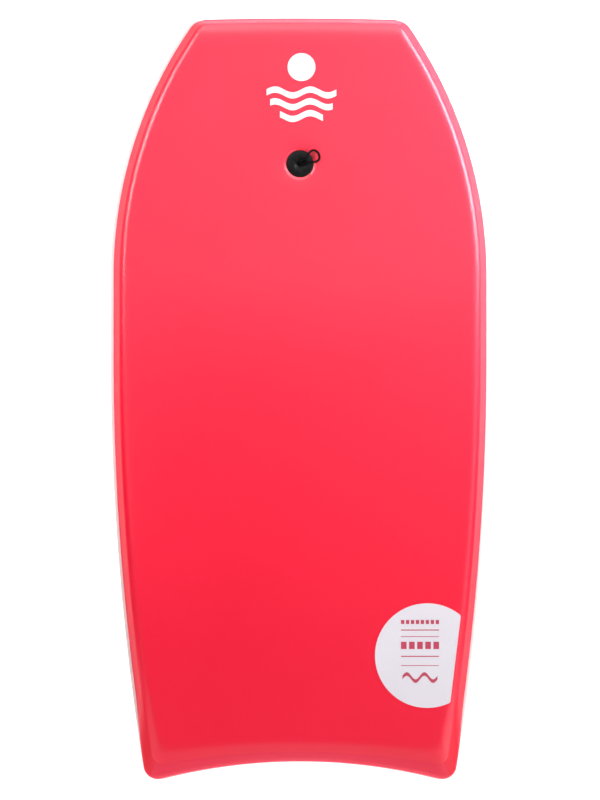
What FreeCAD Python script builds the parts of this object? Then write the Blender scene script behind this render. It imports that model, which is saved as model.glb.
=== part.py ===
"""A 41 inch crescent-tail bodyboard with a foam core, laminated skins and a leash plug.

The board lies deck up: +Z up, +Y to the nose, +X to the rider's right when lying on it.
The origin is under the middle of the board, on the surface that it lies on. Millimetres.
"""

import FreeCAD, Part

import math
import os

from FreeCAD import Placement, Rotation, Vector

# ---------------------------------------------------------------- driving dimensions

LENGTH = 41 * 25.4
WIDTH = 519.0
CENTRE_THICKNESS = 52.0
TAIL_THICKNESS = 46.0
NOSE_THICKNESS = 43.0
NOSE_ROCKER = 38.0  # how far the bottom lifts at the nose

DECK_SKIN = 3.5
SLICK_FOAM = 3.0
SLICK_SHEET = 1.0
PRINT_FILM = 0.2
PRINT_INK = 0.1

# Outline, seen from above. The widest stretch is straight and the rocker starts at its nose end.
STRAIGHT_TAIL_END = 60.0
STRAIGHT_NOSE_END = 170.0
NOSE_SIDE_RADIUS = 595.0
TAIL_SIDE_RADIUS = 3560.0
NOSE_EDGE_RADIUS = 4900.0
TAIL_EDGE_RADIUS = 750.0
NOSE_CORNER = 26.0
TAIL_CORNER = 19.0

# Rail section: heights above the bottom at the middle of the board, and insets from the outline.
APEX_HEIGHT = 21.0
LEDGE_HEIGHT = 23.4
RAIL_SEAM_HEIGHT = 24.0
BEVEL_DROP = 3.0
BEVEL_TOP_INSET = 16.0
BEVEL_SEAM_INSET = 12.0
LEDGE_INSET = 2.7
SHOULDER_DROP = 9.0  # where the tail's bevel turns down; the sides and the nose run straight on past it
SHOULDER_INSET = 9.8
CHINE_INSET = 8.0
CORE_INSET = 22.0

# Leash plug, measured along its own axis from the deck.
PLUG_Y = 322.0
FLANGE_RADIUS = 18.5
FLANGE_UNDERSIDE = -2.4
SHANK_RADIUS = 12.0
SHANK_END = -27.0
SOCKET_RADIUS = 9.6
STUD_RADIUS = 9.5
STUD_TOP = -15.5
CHAMBER_ROOF = -6.0
STRING_HOLE = 3.6
FUNNEL_FLOOR = -2.6
DRILLED_RADIUS = 12.3
DIMPLE_RADIUS = 42.0
DIMPLE_DEPTH = 1.2
SEAT_RADIUS = 19.3
BASE_SEAT = 0.45  # how deep the lower flange is spot-faced into the slick
BASE_PROUD = 1.3

# Leash string. Its loop lies towards the rider's right and the nose, 29 degrees from +X.
STRING_DIAMETER = 3.2
STRING_SPACING = 3.5
STRING_PIVOT = -2.2
STRING_GAP = 0.2
KNOT_RADIUS = 4.6
KNOT_DEPTH = -11.0
LOOP_HEADING = 29.0

# Half of the loop's route, from the pivot to its far end: across, along, above the deck at the plug.
LOOP_ROUTE = [
    (1.7, 0.0, STRING_PIVOT),
    (2.1, 3.6, 1.3),
    (2.8, 9.0, 4.0),
    (4.0, 14.6, 4.8),
    (7.8, 18.4, 4.1),
    (8.1, 26.4, 2.5),
    (0.0, 29.8, 1.6),
]

HALF_LENGTH = LENGTH / 2
HALF_WIDTH = WIDTH / 2
REACH = 400.0  # wider than the board, for cutting slabs


# ---------------------------------------------------------------- heights along the board


def arc_radius(run, rise):
    """Radius of an arc that starts level and climbs by rise over run."""
    return (run * run + rise * rise) / (2 * rise)


class Profile:
    """A height along the board: level in the middle, an arc up to the nose, an arc down to the tail."""

    def __init__(self, level, nose_rise, tail_drop=0.0):
        self.level = level
        self.nose = arc_radius(HALF_LENGTH - STRAIGHT_NOSE_END, nose_rise)
        self.tail = arc_radius(HALF_LENGTH + STRAIGHT_TAIL_END, tail_drop) if tail_drop else None

    def z(self, y):
        if y > STRAIGHT_NOSE_END:
            return self.level + self.nose - math.sqrt(self.nose**2 - (y - STRAIGHT_NOSE_END) ** 2)
        if self.tail and y < STRAIGHT_TAIL_END:
            return self.level - self.tail + math.sqrt(self.tail**2 - (y - STRAIGHT_TAIL_END) ** 2)
        return self.level

    def edges(self, shift):
        """The profile as exact lines and arcs in the plane X = -REACH, tail to nose."""
        ends = (-HALF_LENGTH - 30, STRAIGHT_TAIL_END, STRAIGHT_NOSE_END, HALF_LENGTH + 30)
        made = []
        for low, high in zip(ends, ends[1:]):
            points = [Vector(-REACH, y, self.z(y) + shift) for y in (low, (low + high) / 2, high)]
            curved = abs(points[1].z - (points[0].z + points[2].z) / 2) > 1e-6
            if curved:
                made.append(Part.Arc(*points).toShape())
            else:
                made.append(Part.LineSegment(points[0], points[2]).toShape())
        return made


DECK = Profile(
    CENTRE_THICKNESS,
    NOSE_ROCKER + NOSE_THICKNESS - CENTRE_THICKNESS,
    CENTRE_THICKNESS - TAIL_THICKNESS,
)
BOTTOM = Profile(0.0, NOSE_ROCKER)


def rail_profile(height):
    """A line along the rail that keeps its share of the thickness at the nose."""
    share = height / CENTRE_THICKNESS
    return Profile(height, NOSE_ROCKER + share * NOSE_THICKNESS - height)


APEX = rail_profile(APEX_HEIGHT)
LEDGE = rail_profile(LEDGE_HEIGHT)
RAIL_SEAM = rail_profile(RAIL_SEAM_HEIGHT)


def slab(lower, lower_shift, upper, upper_shift):
    """Everything between two profiles, right across the board."""
    low = lower.edges(lower_shift)
    high = upper.edges(upper_shift)
    ends = [
        Part.LineSegment(low[0].valueAt(low[0].FirstParameter), high[0].valueAt(high[0].FirstParameter)),
        Part.LineSegment(low[-1].valueAt(low[-1].LastParameter), high[-1].valueAt(high[-1].LastParameter)),
    ]
    wire = Part.Wire(Part.__sortEdges__(low + high + [line.toShape() for line in ends]))
    return Part.Face(wire).extrude(Vector(2 * REACH, 0, 0))


# ---------------------------------------------------------------- outline, seen from above


def meet(centre_a, reach_a, centre_b, reach_b):
    """The point on the +X side that is reach_a from centre_a and reach_b from centre_b."""
    across = centre_b - centre_a
    gap = across.Length
    along = (reach_a**2 - reach_b**2 + gap**2) / (2 * gap)
    off = math.sqrt(reach_a**2 - along**2)
    across.normalize()
    side = Vector(across.y, -across.x, 0)
    found = [centre_a + across * along + side * off * sign for sign in (1, -1)]
    return max(found, key=lambda p: p.x)


class Arc:
    """A plan arc from one point to another, the short way round its centre."""

    def __init__(self, centre, start, end):
        self.centre, self.start, self.end = centre, start, end
        self.radius = (start - centre).Length
        self.a = math.atan2(start.y - centre.y, start.x - centre.x)
        turn = math.atan2(end.y - centre.y, end.x - centre.x) - self.a
        self.turn = (turn + math.pi) % (2 * math.pi) - math.pi

    def at(self, t):
        angle = self.a + t * self.turn
        return self.centre + Vector(math.cos(angle), math.sin(angle), 0) * self.radius

    def edge(self):
        return Part.Arc(self.start, self.at(0.5), self.end).toShape()


class Line:
    def __init__(self, start, end):
        self.start, self.end = start, end

    def at(self, t):
        return self.start + (self.end - self.start) * t

    def edge(self):
        return Part.LineSegment(self.start, self.end).toShape()


SIDE_NOSE_CENTRE = Vector(HALF_WIDTH - NOSE_SIDE_RADIUS, STRAIGHT_NOSE_END, 0)
SIDE_TAIL_CENTRE = Vector(HALF_WIDTH - TAIL_SIDE_RADIUS, STRAIGHT_TAIL_END, 0)
NOSE_CENTRE = Vector(0, HALF_LENGTH - NOSE_EDGE_RADIUS, 0)


def tail_middle():
    """Where the bottom's tail edge crosses the centre line, if its corners end at the board's full length."""
    y = -HALF_LENGTH + TAIL_CORNER
    side = TAIL_SIDE_RADIUS - CHINE_INSET - TAIL_CORNER
    x = SIDE_TAIL_CENTRE.x + math.sqrt(side**2 - (y - SIDE_TAIL_CENTRE.y) ** 2)
    return y - math.sqrt((TAIL_EDGE_RADIUS + TAIL_CORNER) ** 2 - x * x) + TAIL_EDGE_RADIUS


TAIL_MIDDLE = tail_middle()


def outline(side, nose, tail, tail_radius, nose_corner, tail_corner):
    """The right half of a plan outline, nose to tail, inset from the board's own by side, nose and tail."""
    tail_centre = Vector(0, TAIL_MIDDLE + tail - tail_radius, 0)
    nose_radius = NOSE_EDGE_RADIUS - nose
    nose_side = NOSE_SIDE_RADIUS - side
    tail_side = TAIL_SIDE_RADIUS - side
    front = meet(SIDE_NOSE_CENTRE, nose_side - nose_corner, NOSE_CENTRE, nose_radius - nose_corner)
    back = meet(SIDE_TAIL_CENTRE, tail_side - tail_corner, tail_centre, tail_radius + tail_corner)

    def reach(centre, through, radius):
        return centre + (through - centre).normalize() * radius

    front_nose = reach(NOSE_CENTRE, front, nose_radius)
    front_side = reach(SIDE_NOSE_CENTRE, front, nose_side)
    back_side = reach(SIDE_TAIL_CENTRE, back, tail_side)
    back_tail = reach(tail_centre, back, tail_radius)
    x = HALF_WIDTH - side
    return [
        Arc(NOSE_CENTRE, NOSE_CENTRE + Vector(0, nose_radius, 0), front_nose),
        Arc(front, front_nose, front_side),
        Arc(SIDE_NOSE_CENTRE, front_side, Vector(x, STRAIGHT_NOSE_END, 0)),
        Line(Vector(x, STRAIGHT_NOSE_END, 0), Vector(x, STRAIGHT_TAIL_END, 0)),
        Arc(SIDE_TAIL_CENTRE, Vector(x, STRAIGHT_TAIL_END, 0), back_side),
        Arc(back, back_side, back_tail),
        Arc(tail_centre, back_tail, tail_centre + Vector(0, tail_radius, 0)),
    ]


def prism(pieces, low=-60.0, high=160.0):
    """A right half outline and its mirror image, as an upright solid."""
    half = [piece.edge() for piece in pieces]
    mirrored = [edge.mirror(Vector(), Vector(1, 0, 0)) for edge in half]
    wire = Part.Wire(Part.__sortEdges__(half + mirrored))
    wire.translate(Vector(0, 0, low))
    return Part.Face(wire).extrude(Vector(0, 0, high - low))


# ---------------------------------------------------------------- the shaped outside

POINTS_PER_PIECE = (5, 7, 13, 3, 13, 7, 7)


class Level:
    """A closed line round the board: a plan outline carried at a height that follows a profile."""

    def __init__(self, profile, shift, *sizes):
        self.profile, self.shift = profile, shift
        self.pieces = outline(*sizes)

    def curves(self, mirror):
        made = []
        for piece, count in zip(self.pieces, POINTS_PER_PIECE):
            points = []
            for i in range(count):
                p = piece.at(i / (count - 1))
                x = 0.0 if abs(p.x) < 1e-9 else p.x
                points.append(Vector(x * mirror, p.y, self.profile.z(p.y) + self.shift))
            curve = Part.BSplineCurve()
            curve.interpolate(Points=points, Parameters=[i / (count - 1) for i in range(count)])
            made.append(curve.toShape())
        return made


BEVEL_RUN = BEVEL_TOP_INSET - BEVEL_SEAM_INSET


def levels():
    """The lines that the cutting ring passes through, from above the deck down, then up outside."""
    over = BEVEL_SEAM_INSET + 2 * BEVEL_RUN
    outside = -15.0
    return [
        Level(DECK, BEVEL_DROP, over, 27.0, 39.0, 2500.0, 8.0, 14.0),
        Level(DECK, -BEVEL_DROP, BEVEL_SEAM_INSET, 9.0, 15.4, 1040.0, 16.0, 16.0),
        Level(DECK, -SHOULDER_DROP, SHOULDER_INSET, 7.2, 3.1, 795.0, 18.0, 18.0),
        Level(LEDGE, 0.0, LEDGE_INSET, 1.8, 1.7, 775.0, 24.0, 19.0),
        Level(APEX, 0.0, 0.0, 0.0, 1.5, 771.0, NOSE_CORNER, 20.0),
        Level(BOTTOM, -3.0, CHINE_INSET + 1.1, 5.7, -0.2, 746.0, 21.0, TAIL_CORNER),
        Level(BOTTOM, -3.0, outside, outside, outside, TAIL_EDGE_RADIUS, 40.0, 34.0),
        Level(DECK, BEVEL_DROP, outside, outside, outside, TAIL_EDGE_RADIUS, 40.0, 34.0),
    ]


def cutting_ring():
    """A closed ring whose inner faces are the bevel, rails, chine, nose and tail of the board."""
    faces = []
    for mirror in (1, -1):
        lines = [level.curves(mirror) for level in levels()]
        for upper, lower in zip(lines, lines[1:] + lines[:1]):
            faces += [Part.makeRuledSurface(a, b) for a, b in zip(upper, lower)]
    shell = Part.Shell(Part.makeCompound(faces).Faces)
    shell.sewShape()
    solid = Part.Solid(shell)
    if solid.Volume < 0:
        solid.reverse()
    return solid


def outer_form():
    """The whole board's outside, a little over-thick above and below, before it is split in layers."""
    block = prism(outline(-8.0, -8.0, -8.0, TAIL_EDGE_RADIUS, 34.0, 27.0))
    block = block.common(slab(BOTTOM, -2.0, DECK, 2.0))
    return block.cut(cutting_ring())


# ---------------------------------------------------------------- leash plug frame


def plug_tilt():
    """The plug stands square to the board: half way between the deck's slope and the bottom's."""
    slopes = [math.asin((PLUG_Y - STRAIGHT_NOSE_END) / profile.nose) for profile in (DECK, BOTTOM)]
    return sum(slopes) / 2


PLUG_TILT = plug_tilt()
PLUG_TOP = Vector(0, PLUG_Y, DECK.z(PLUG_Y))
PLUG_PLACE = Placement(PLUG_TOP, Rotation(Vector(1, 0, 0), math.degrees(PLUG_TILT)))


def plug_length():
    """Deck to bottom along the plug's axis."""
    length = CENTRE_THICKNESS
    for _ in range(6):
        y = PLUG_Y + length * math.sin(PLUG_TILT)
        length = (PLUG_TOP.z - BOTTOM.z(y)) / math.cos(PLUG_TILT)
    return length


PLUG_LENGTH = plug_length()


def placed(shape):
    """A shape made about the plug's axis, put where the plug is."""
    moved = shape.copy()
    moved.transformShape(PLUG_PLACE.toMatrix())
    return moved


def turned(edges):
    """A solid of revolution about the plug's axis, from edges in the plane Y = 0."""
    face = Part.Face(Part.Wire(Part.__sortEdges__(edges)))
    return face.revolve(Vector(), Vector(0, 0, 1), 360)


def half_section(*corners):
    """Straight edges through (radius, height) corners."""
    points = [Vector(r, 0, h) for r, h in corners]
    return [Part.LineSegment(a, b).toShape() for a, b in zip(points, points[1:])]


def bend(*corners):
    return Part.Arc(*[Vector(r, 0, h) for r, h in corners]).toShape()


def upright(radius, low, high):
    return Part.makeCylinder(radius, high - low, Vector(0, 0, low))


# ---------------------------------------------------------------- board layers


def drilled(shape):
    return shape.cut(placed(upright(DRILLED_RADIUS, -80.0, 30.0)))


def deck_skin(form):
    """The deck sheet, with the shallow dimple and the steep-sided seat that the plug pulls into it."""
    skin = drilled(form.common(slab(DECK, -DECK_SKIN, DECK, 0.0)))
    dimple = Part.makeCone(
        SEAT_RADIUS + 0.8,
        DIMPLE_RADIUS * 2 - SEAT_RADIUS - 0.8,
        DIMPLE_DEPTH * 2,
        Vector(0, 0, -DIMPLE_DEPTH),
    )
    seat = upright(SEAT_RADIUS, FLANGE_UNDERSIDE, 5.0)
    return skin.cut(placed(dimple)).cut(placed(seat))


def slick_sheet(form):
    sheet = drilled(form.common(slab(BOTTOM, 0.0, BOTTOM, SLICK_SHEET)))
    spot_face = upright(FLANGE_RADIUS + 0.3, -PLUG_LENGTH - 5.0, -PLUG_LENGTH + BASE_SEAT)
    return sheet.cut(placed(spot_face))


def slick_foam(form):
    return drilled(form.common(slab(BOTTOM, SLICK_SHEET, BOTTOM, SLICK_SHEET + SLICK_FOAM)))


def core_prism():
    return prism(outline(CORE_INSET, CORE_INSET, 28.0, 1100.0, 8.0, 12.0))


def middle_slab():
    return slab(BOTTOM, SLICK_SHEET + SLICK_FOAM, DECK, -DECK_SKIN)


def end_sector(end):
    """Everything past the mitre lines at the nose's or the tail's two corners."""
    if end == "nose":
        inner, outer, far = Vector(112, 486, 0), Vector(166, 546, 0), 600.0
    else:
        inner, outer, far = Vector(170, -455, 0), Vector(226, -545, 0), -600.0
    right = [inner, outer, Vector(outer.x, far, 0)]
    left = [Vector(-p.x, p.y, 0) for p in reversed(right)]
    corners = right + left + [inner]
    face = Part.Face(Part.makePolygon(corners))
    solid = face.extrude(Vector(0, 0, 220))
    solid.translate(Vector(0, 0, -60))
    return solid


def rim_strips(form):
    """The foam strips round the core: one each at the nose and tail, an upper and a lower on each side."""
    rim = form.common(middle_slab()).cut(core_prism())
    nose, tail = end_sector("nose"), end_sector("tail")
    strips = {"nose_strip": rim.common(nose), "tail_strip": rim.common(tail)}
    sides = rim.cut(nose).cut(tail)
    upper = sides.common(slab(RAIL_SEAM, 0.0, DECK, 10.0))
    lower = sides.common(slab(BOTTOM, -10.0, RAIL_SEAM, 0.0))
    for name, pair in (("upper_rail", upper), ("lower_rail", lower)):
        for solid in pair.Solids:
            hand = "right" if solid.CenterOfMass.x > 0 else "left"
            strips[f"{name}_{hand}"] = solid
    return strips


# ---------------------------------------------------------------- prints

EMBLEM_CENTRE = Vector(2, 425, 0)
EMBLEM_RADIUS = 48.0
WAVE_LENGTH = 48.0
LABEL_CENTRE = Vector(174, -350, 0)
LABEL_RADIUS = 71.5
LABEL_CHORD = (Vector(220, -294, 0), Vector(205.6, -413, 0))


def wave_band(centre, width, length, rise, thick):
    """A ribbon whose two edges are the same sine wave, thick apart, seen from above."""
    count = max(8, round(width / length * 8))
    edges = []
    for side in (0.5, -0.5):
        points = []
        for i in range(count + 1):
            x = -width / 2 + width * i / count
            y = rise * math.sin(2 * math.pi * x / length) + side * thick
            points.append(centre + Vector(x, y, 0))
        curve = Part.BSplineCurve()
        curve.interpolate(points)
        edges.append((points, curve.toShape()))
    (top, top_edge), (low, low_edge) = edges
    ends = [Part.LineSegment(top[k], low[k]).toShape() for k in (0, -1)]
    return Part.Face(Part.Wire(Part.__sortEdges__([top_edge, low_edge] + ends)))


def disc(centre, radius):
    return Part.Face(Part.Wire(Part.makeCircle(radius, centre)))


def rectangle(centre, width, height):
    corner = centre - Vector(width / 2, height / 2, 0)
    return Part.makePlane(width, height, corner)


def printed(faces, low, thick):
    """Plan shapes laid on the deck as a film of the given thickness."""
    film = slab(DECK, low, DECK, low + thick)
    solids = []
    for face in faces:
        solids += face.extrude(Vector(0, 0, 160)).common(film).Solids
    return Part.makeCompound(solids)


def emblem_print():
    """A plain sun over three waves."""
    circle = disc(EMBLEM_CENTRE, EMBLEM_RADIUS)
    faces = [disc(EMBLEM_CENTRE + Vector(0, 25, 0), 17.0)]
    for drop in (6.0, 21.0, 36.0):
        band = wave_band(EMBLEM_CENTRE - Vector(0, drop, 0), 110.0, WAVE_LENGTH, 4.0, 8.0)
        faces += band.common(circle).Faces
    return printed(faces, 0.0, PRINT_FILM)


def label_print():
    """A white disc with a straight side along the rail."""
    top, low = LABEL_CHORD
    beyond = Vector(60, 0, 0)
    along = (top - low) * 0.3
    corners = [top + along, low - along, low - along + beyond, top + along + beyond, top + along]
    shape = disc(LABEL_CENTRE, LABEL_RADIUS).cut(Part.Face(Part.makePolygon(corners)))
    return printed(shape.Faces, 0.0, PRINT_FILM)


def label_marks():
    """Plain bars, two rules and a wave in place of any lettering: (height above centre, width, depth)."""
    middle = LABEL_CENTRE - Vector(10, 0, 0)
    bars = [(46, 52, 5.5), (35, 52, 3.0), (26, 52, 0.9), (14, 52, 10.0), (-3, 52, 3.0), (-13.5, 52, 0.9)]
    faces = [rectangle(middle + Vector(0, up, 0), wide, deep) for up, wide, deep in bars]
    faces.append(wave_band(middle - Vector(0, 30, 0), 48.0, 24.0, 5.0, 5.0))
    return printed(faces, PRINT_FILM, PRINT_INK)


# ---------------------------------------------------------------- leash plug


def plug_cap():
    """The deck half: a domed flange with a funnel and string hole, on a tubular shank with a threaded socket."""
    rim = FLANGE_RADIUS
    section = half_section((STRING_HOLE, CHAMBER_ROOF), (STRING_HOLE, FUNNEL_FLOOR), (8.2, 0.15))
    section.append(bend((8.2, 0.15), (8.9, 0.5), (9.8, 0.6)))
    section.append(bend((9.8, 0.6), (14.5, 0.2), (rim - 0.6, -0.9)))
    section.append(bend((rim - 0.6, -0.9), (rim - 0.1, -1.2), (rim, -1.6)))
    section += half_section(
        (rim, -1.6),
        (rim, FLANGE_UNDERSIDE),
        (SHANK_RADIUS, FLANGE_UNDERSIDE),
        (SHANK_RADIUS, SHANK_END),
        (SOCKET_RADIUS, SHANK_END),
        (SOCKET_RADIUS, CHAMBER_ROOF),
        (STRING_HOLE, CHAMBER_ROOF),
    )
    return placed(turned(section))


def plug_base():
    """The bottom half: a coin-slotted flange on a hollow stud that screws into the cap's socket."""
    seat = -PLUG_LENGTH + BASE_SEAT
    face = -PLUG_LENGTH - BASE_PROUD
    rim = FLANGE_RADIUS
    floor = seat + 6.0
    section = [bend((rim, seat - 0.6), (rim - 0.2, face + 0.2), (rim - 1.0, face))]
    section += half_section(
        (rim - 1.0, face),
        (0.0, face),
        (0.0, floor),
        (6.5, floor),
        (6.5, STUD_TOP),
        (STUD_RADIUS, STUD_TOP),
        (STUD_RADIUS, seat),
        (rim, seat),
        (rim, seat - 0.6),
    )
    coin_slot = Part.makeBox(15.0, 2.2, 1.6, Vector(-7.5, -1.1, face - 0.4))
    return placed(turned(section).cut(coin_slot))


# ---------------------------------------------------------------- leash string


def string_point(across, along, above):
    """A point of the string, in the plug's own frame."""
    a = math.radians(LOOP_HEADING)
    return Vector(along * math.cos(a) - across * math.sin(a), along * math.sin(a) + across * math.cos(a), above)


def loop_points():
    """The whole loop: out along one side, round the far end and back along the other."""
    back = [(-across, along, above) for across, along, above in reversed(LOOP_ROUTE[:-1])]
    return [string_point(*point) for point in LOOP_ROUTE + back]


def tube_path(points):
    """Straight runs joined by tangent arcs, each as large as its two runs allow."""
    edges, radii = [], []
    here = points[0]
    for before, corner, after in zip(points, points[1:], points[2:]):
        into, out = corner - before, after - corner
        turn = into.getAngle(out)
        back = 0.45 * min(into.Length, out.Length)
        radii.append(back / math.tan(turn / 2))
        into.normalize()
        out.normalize()
        start, end = corner - into * back, corner + out * back
        middle = out - into
        middle.normalize()
        sagitta = radii[-1] * (1 / math.cos(turn / 2) - 1)
        edges.append(Part.LineSegment(here, start).toShape())
        edges.append(Part.Arc(start, corner + middle * sagitta, end).toShape())
        here = end
    edges.append(Part.LineSegment(here, points[-1]).toShape())
    return Part.Wire(edges), radii


def string_loop():
    """The loop above the plug, with a ball at each end that turns in the string hole's mouth."""
    points = loop_points()
    path, radii = tube_path(points)
    radius = STRING_DIAMETER / 2
    start = Part.Wire(Part.makeCircle(radius, points[0], points[1] - points[0]))
    tube = path.makePipeShell([start], True, False, 2)
    if tube.Volume < 0:
        tube.reverse()
    expected = math.pi * radius**2 * path.Length
    print("string loop: length", round(path.Length, 1), "radii", [round(r, 1) for r in radii])
    print("string loop: tube volume over section times length", round(tube.Volume / expected, 4))
    for end in (points[0], points[-1]):
        tube = tube.fuse(Part.makeSphere(radius, end))
    return placed(tube.removeSplitter())


def string_knot():
    """The two tails inside the plug and the stopper knot that holds them under the cap."""
    radius = STRING_DIAMETER / 2
    top = STRING_PIVOT - radius - STRING_GAP
    knot = Part.makeSphere(KNOT_RADIUS, Vector(0, 0, KNOT_DEPTH))
    for side in (0.5, -0.5):
        foot = string_point(side * STRING_SPACING, 0.0, KNOT_DEPTH)
        knot = knot.fuse(Part.makeCylinder(radius, top - KNOT_DEPTH, foot))
    return placed(knot.removeSplitter())


# ---------------------------------------------------------------- write the parts


def build():
    form = outer_form()
    parts = {
        "deck_skin": deck_skin(form),
        "slick_foam": slick_foam(form),
        "slick_sheet": slick_sheet(form),
        "core": drilled(core_prism().common(middle_slab())),
        "emblem_print": emblem_print(),
        "label_print": label_print(),
        "label_marks": label_marks(),
        "plug_cap": plug_cap(),
        "plug_base": plug_base(),
        "string_loop": string_loop(),
        "string_knot": string_knot(),
    }
    parts.update(rim_strips(form))
    return parts


def main():
    os.makedirs("parts", exist_ok=True)
    parts = build()
    for name, shape in sorted(parts.items()):
        solids = shape.Solids
        solid = solids[0] if len(solids) == 1 else Part.makeCompound(solids)
        print(name, len(solids), "solid(s), valid", solid.isValid(), "volume", round(solid.Volume, 1))
        solid.exportStep(f"parts/{name}.step")
    box = Part.makeCompound(list(parts.values())).BoundBox
    print("box", [round(v, 2) for v in (box.XMin, box.XMax, box.YMin, box.YMax, box.ZMin, box.ZMax)])
    heading = math.radians(LOOP_HEADING)
    hinge_axis = PLUG_PLACE.Rotation.multVec(Vector(math.sin(heading), -math.cos(heading), 0))
    print("string loop hinge", PLUG_PLACE.multVec(Vector(0, 0, STRING_PIVOT)), "axis", hinge_axis)
    print("string loop end", PLUG_PLACE.multVec(string_point(0, 26, 2)))
    print("plug length", round(PLUG_LENGTH, 2))


main()
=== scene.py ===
"""The looks of a 41 inch crescent-tail bodyboard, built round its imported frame. Metres.

The foam skins, rails, slick, prints and string are new meshes on the frame's own outline and section, with
rolled edges, seams and the dimple that the plug pulls into the deck. The core, the plug and the knot keep
their frame shapes.
"""

import math

import bmesh
import bpy
from mathutils import Matrix, Vector, noise


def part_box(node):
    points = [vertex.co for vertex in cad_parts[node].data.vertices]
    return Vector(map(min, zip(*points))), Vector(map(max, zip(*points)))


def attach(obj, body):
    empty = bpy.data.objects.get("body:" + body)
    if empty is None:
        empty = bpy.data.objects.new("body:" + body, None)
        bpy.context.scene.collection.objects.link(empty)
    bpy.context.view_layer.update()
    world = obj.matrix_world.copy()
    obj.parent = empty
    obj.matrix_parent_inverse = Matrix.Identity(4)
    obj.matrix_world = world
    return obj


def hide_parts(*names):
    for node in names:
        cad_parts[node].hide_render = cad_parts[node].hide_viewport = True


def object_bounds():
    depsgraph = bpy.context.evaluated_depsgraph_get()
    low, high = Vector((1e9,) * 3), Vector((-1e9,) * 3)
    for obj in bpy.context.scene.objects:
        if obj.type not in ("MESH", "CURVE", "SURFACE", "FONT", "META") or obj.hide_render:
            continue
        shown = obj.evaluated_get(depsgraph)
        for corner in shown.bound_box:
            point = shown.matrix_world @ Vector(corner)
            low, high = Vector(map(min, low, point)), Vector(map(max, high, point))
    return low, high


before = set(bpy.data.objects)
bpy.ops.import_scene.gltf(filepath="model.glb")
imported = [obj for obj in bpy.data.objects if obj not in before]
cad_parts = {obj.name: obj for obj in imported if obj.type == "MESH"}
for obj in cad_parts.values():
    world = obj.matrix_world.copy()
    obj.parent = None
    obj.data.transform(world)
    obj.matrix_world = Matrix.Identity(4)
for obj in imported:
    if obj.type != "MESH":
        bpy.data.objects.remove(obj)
CAD_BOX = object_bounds()

MM = 0.001

# ---------------------------------------------------------------- sizes

HALF_LENGTH = (CAD_BOX[1].y - CAD_BOX[0].y) / 2
HALF_WIDTH = (CAD_BOX[1].x - CAD_BOX[0].x) / 2
CENTRE_THICKNESS = 52 * MM
TAIL_THICKNESS = 46 * MM
NOSE_THICKNESS = 43 * MM
NOSE_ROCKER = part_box("slick_sheet")[1].z
SKIN = 3.5 * MM
APEX_HEIGHT = 21 * MM

STRAIGHT_TAIL_END = 60 * MM
STRAIGHT_NOSE_END = 170 * MM
NOSE_SIDE_RADIUS = 595 * MM
TAIL_SIDE_RADIUS = 3560 * MM
NOSE_EDGE_RADIUS = 4900 * MM
TAIL_EDGE_RADIUS = 750 * MM
CRESCENT_FADE = 24  # how fast the crescent's curvature falls with the inset, per square metre
BOTTOM_SIDE_INSET = 8 * MM
BOTTOM_TAIL_CORNER = 19 * MM

# The corners' radii at the outline, and what they lose for each unit of the two insets there together.
NOSE_CORNER = 26 * MM
NOSE_CORNER_LOSS = 0.3
NOSE_CORNER_LEAST = 9 * MM
TAIL_CORNER = 20 * MM
TAIL_CORNER_LOSS = 0.15
TAIL_CORNER_GAIN = 0.4  # beyond TAIL_CORNER_TURN they widen again
TAIL_CORNER_TURN = 31 * MM

PLUG_Y = 322 * MM
PLUG_BASE_CENTRE = sum(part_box("plug_base"), Vector()) / 2
PLUG_HOLE_RADIUS = 12.6 * MM
SEAT_RADIUS = 19.3 * MM
DIMPLE_DEPTH = 0.5 * MM
DIMPLE_REACH = 36 * MM

# The deck's faint waviness: its height, its waves to a metre, and where it fades out along the sides.
RIPPLE_HEIGHT = 0.112 * MM
RIPPLE_SCALE = 9
RIPPLE_HALF_WIDTH = 200 * MM
RIPPLE_FADE = 50 * MM

PRINT_FILM = 0.16 * MM
INK_FILM = 0.08 * MM
PRINT_ROOT = 0.05 * MM  # how far a print's underside is sunk into what it is printed on

EMBLEM_Y = 425 * MM
EMBLEM_RADIUS = 48 * MM
SUN_RADIUS = 19 * MM
SUN_ABOVE = 28.5 * MM
WAVES_BELOW = (6 * MM, 22 * MM, 38 * MM)
WAVE_BAND = 8.5 * MM
WAVE_LENGTH = 48 * MM
WAVE_HEIGHT = 4 * MM

LABEL_CENTRE = (174 * MM, -350 * MM)
LABEL_RADIUS = 71.5 * MM
# The ends of the label's straight side, along the rail.
LABEL_CUT = (Vector((220 * MM, -294 * MM)), Vector((205.6 * MM, -413 * MM)))
MARKS_LEFT_OF_CENTRE = 10 * MM
MARKS_WIDTH = 52 * MM
# Rows of equal blocks on the label: height above its centre, depth, count, gap.
LABEL_BLOCKS = (
    (46 * MM, 5.5 * MM, 8, 2.2 * MM),
    (35 * MM, 1.4 * MM, 1, 0),
    (26 * MM, 0.9 * MM, 1, 0),
    (14 * MM, 10 * MM, 5, 3.4 * MM),
    (-1 * MM, 1.4 * MM, 1, 0),
    (-13.5 * MM, 0.9 * MM, 1, 0),
)
# The wave under them: height above the centre, width, band, wavelength and height of the wave.
LABEL_WAVE = (-30 * MM, 48 * MM, 5 * MM, 24 * MM, 5 * MM)

STRING_DIAMETER = 3.2 * MM
STRING_SIDES = 32
STRING_STEP = 0.16 * MM
STRING_CAP_STEPS = 6
STRING_CAP_WIDTH = 0.95  # of the string's own
BRAID_PITCH = 5.2 * MM
BRAID_STRANDS = 4  # each way round
# Shares of the string's radius: between the strands, the strands' rise over that, and where they cross.
BRAID_VALLEY = 0.93
BRAID_RISE = 0.07
BRAID_CROSSING = 0.02
LOOP_HEADING = math.radians(29)
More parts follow.
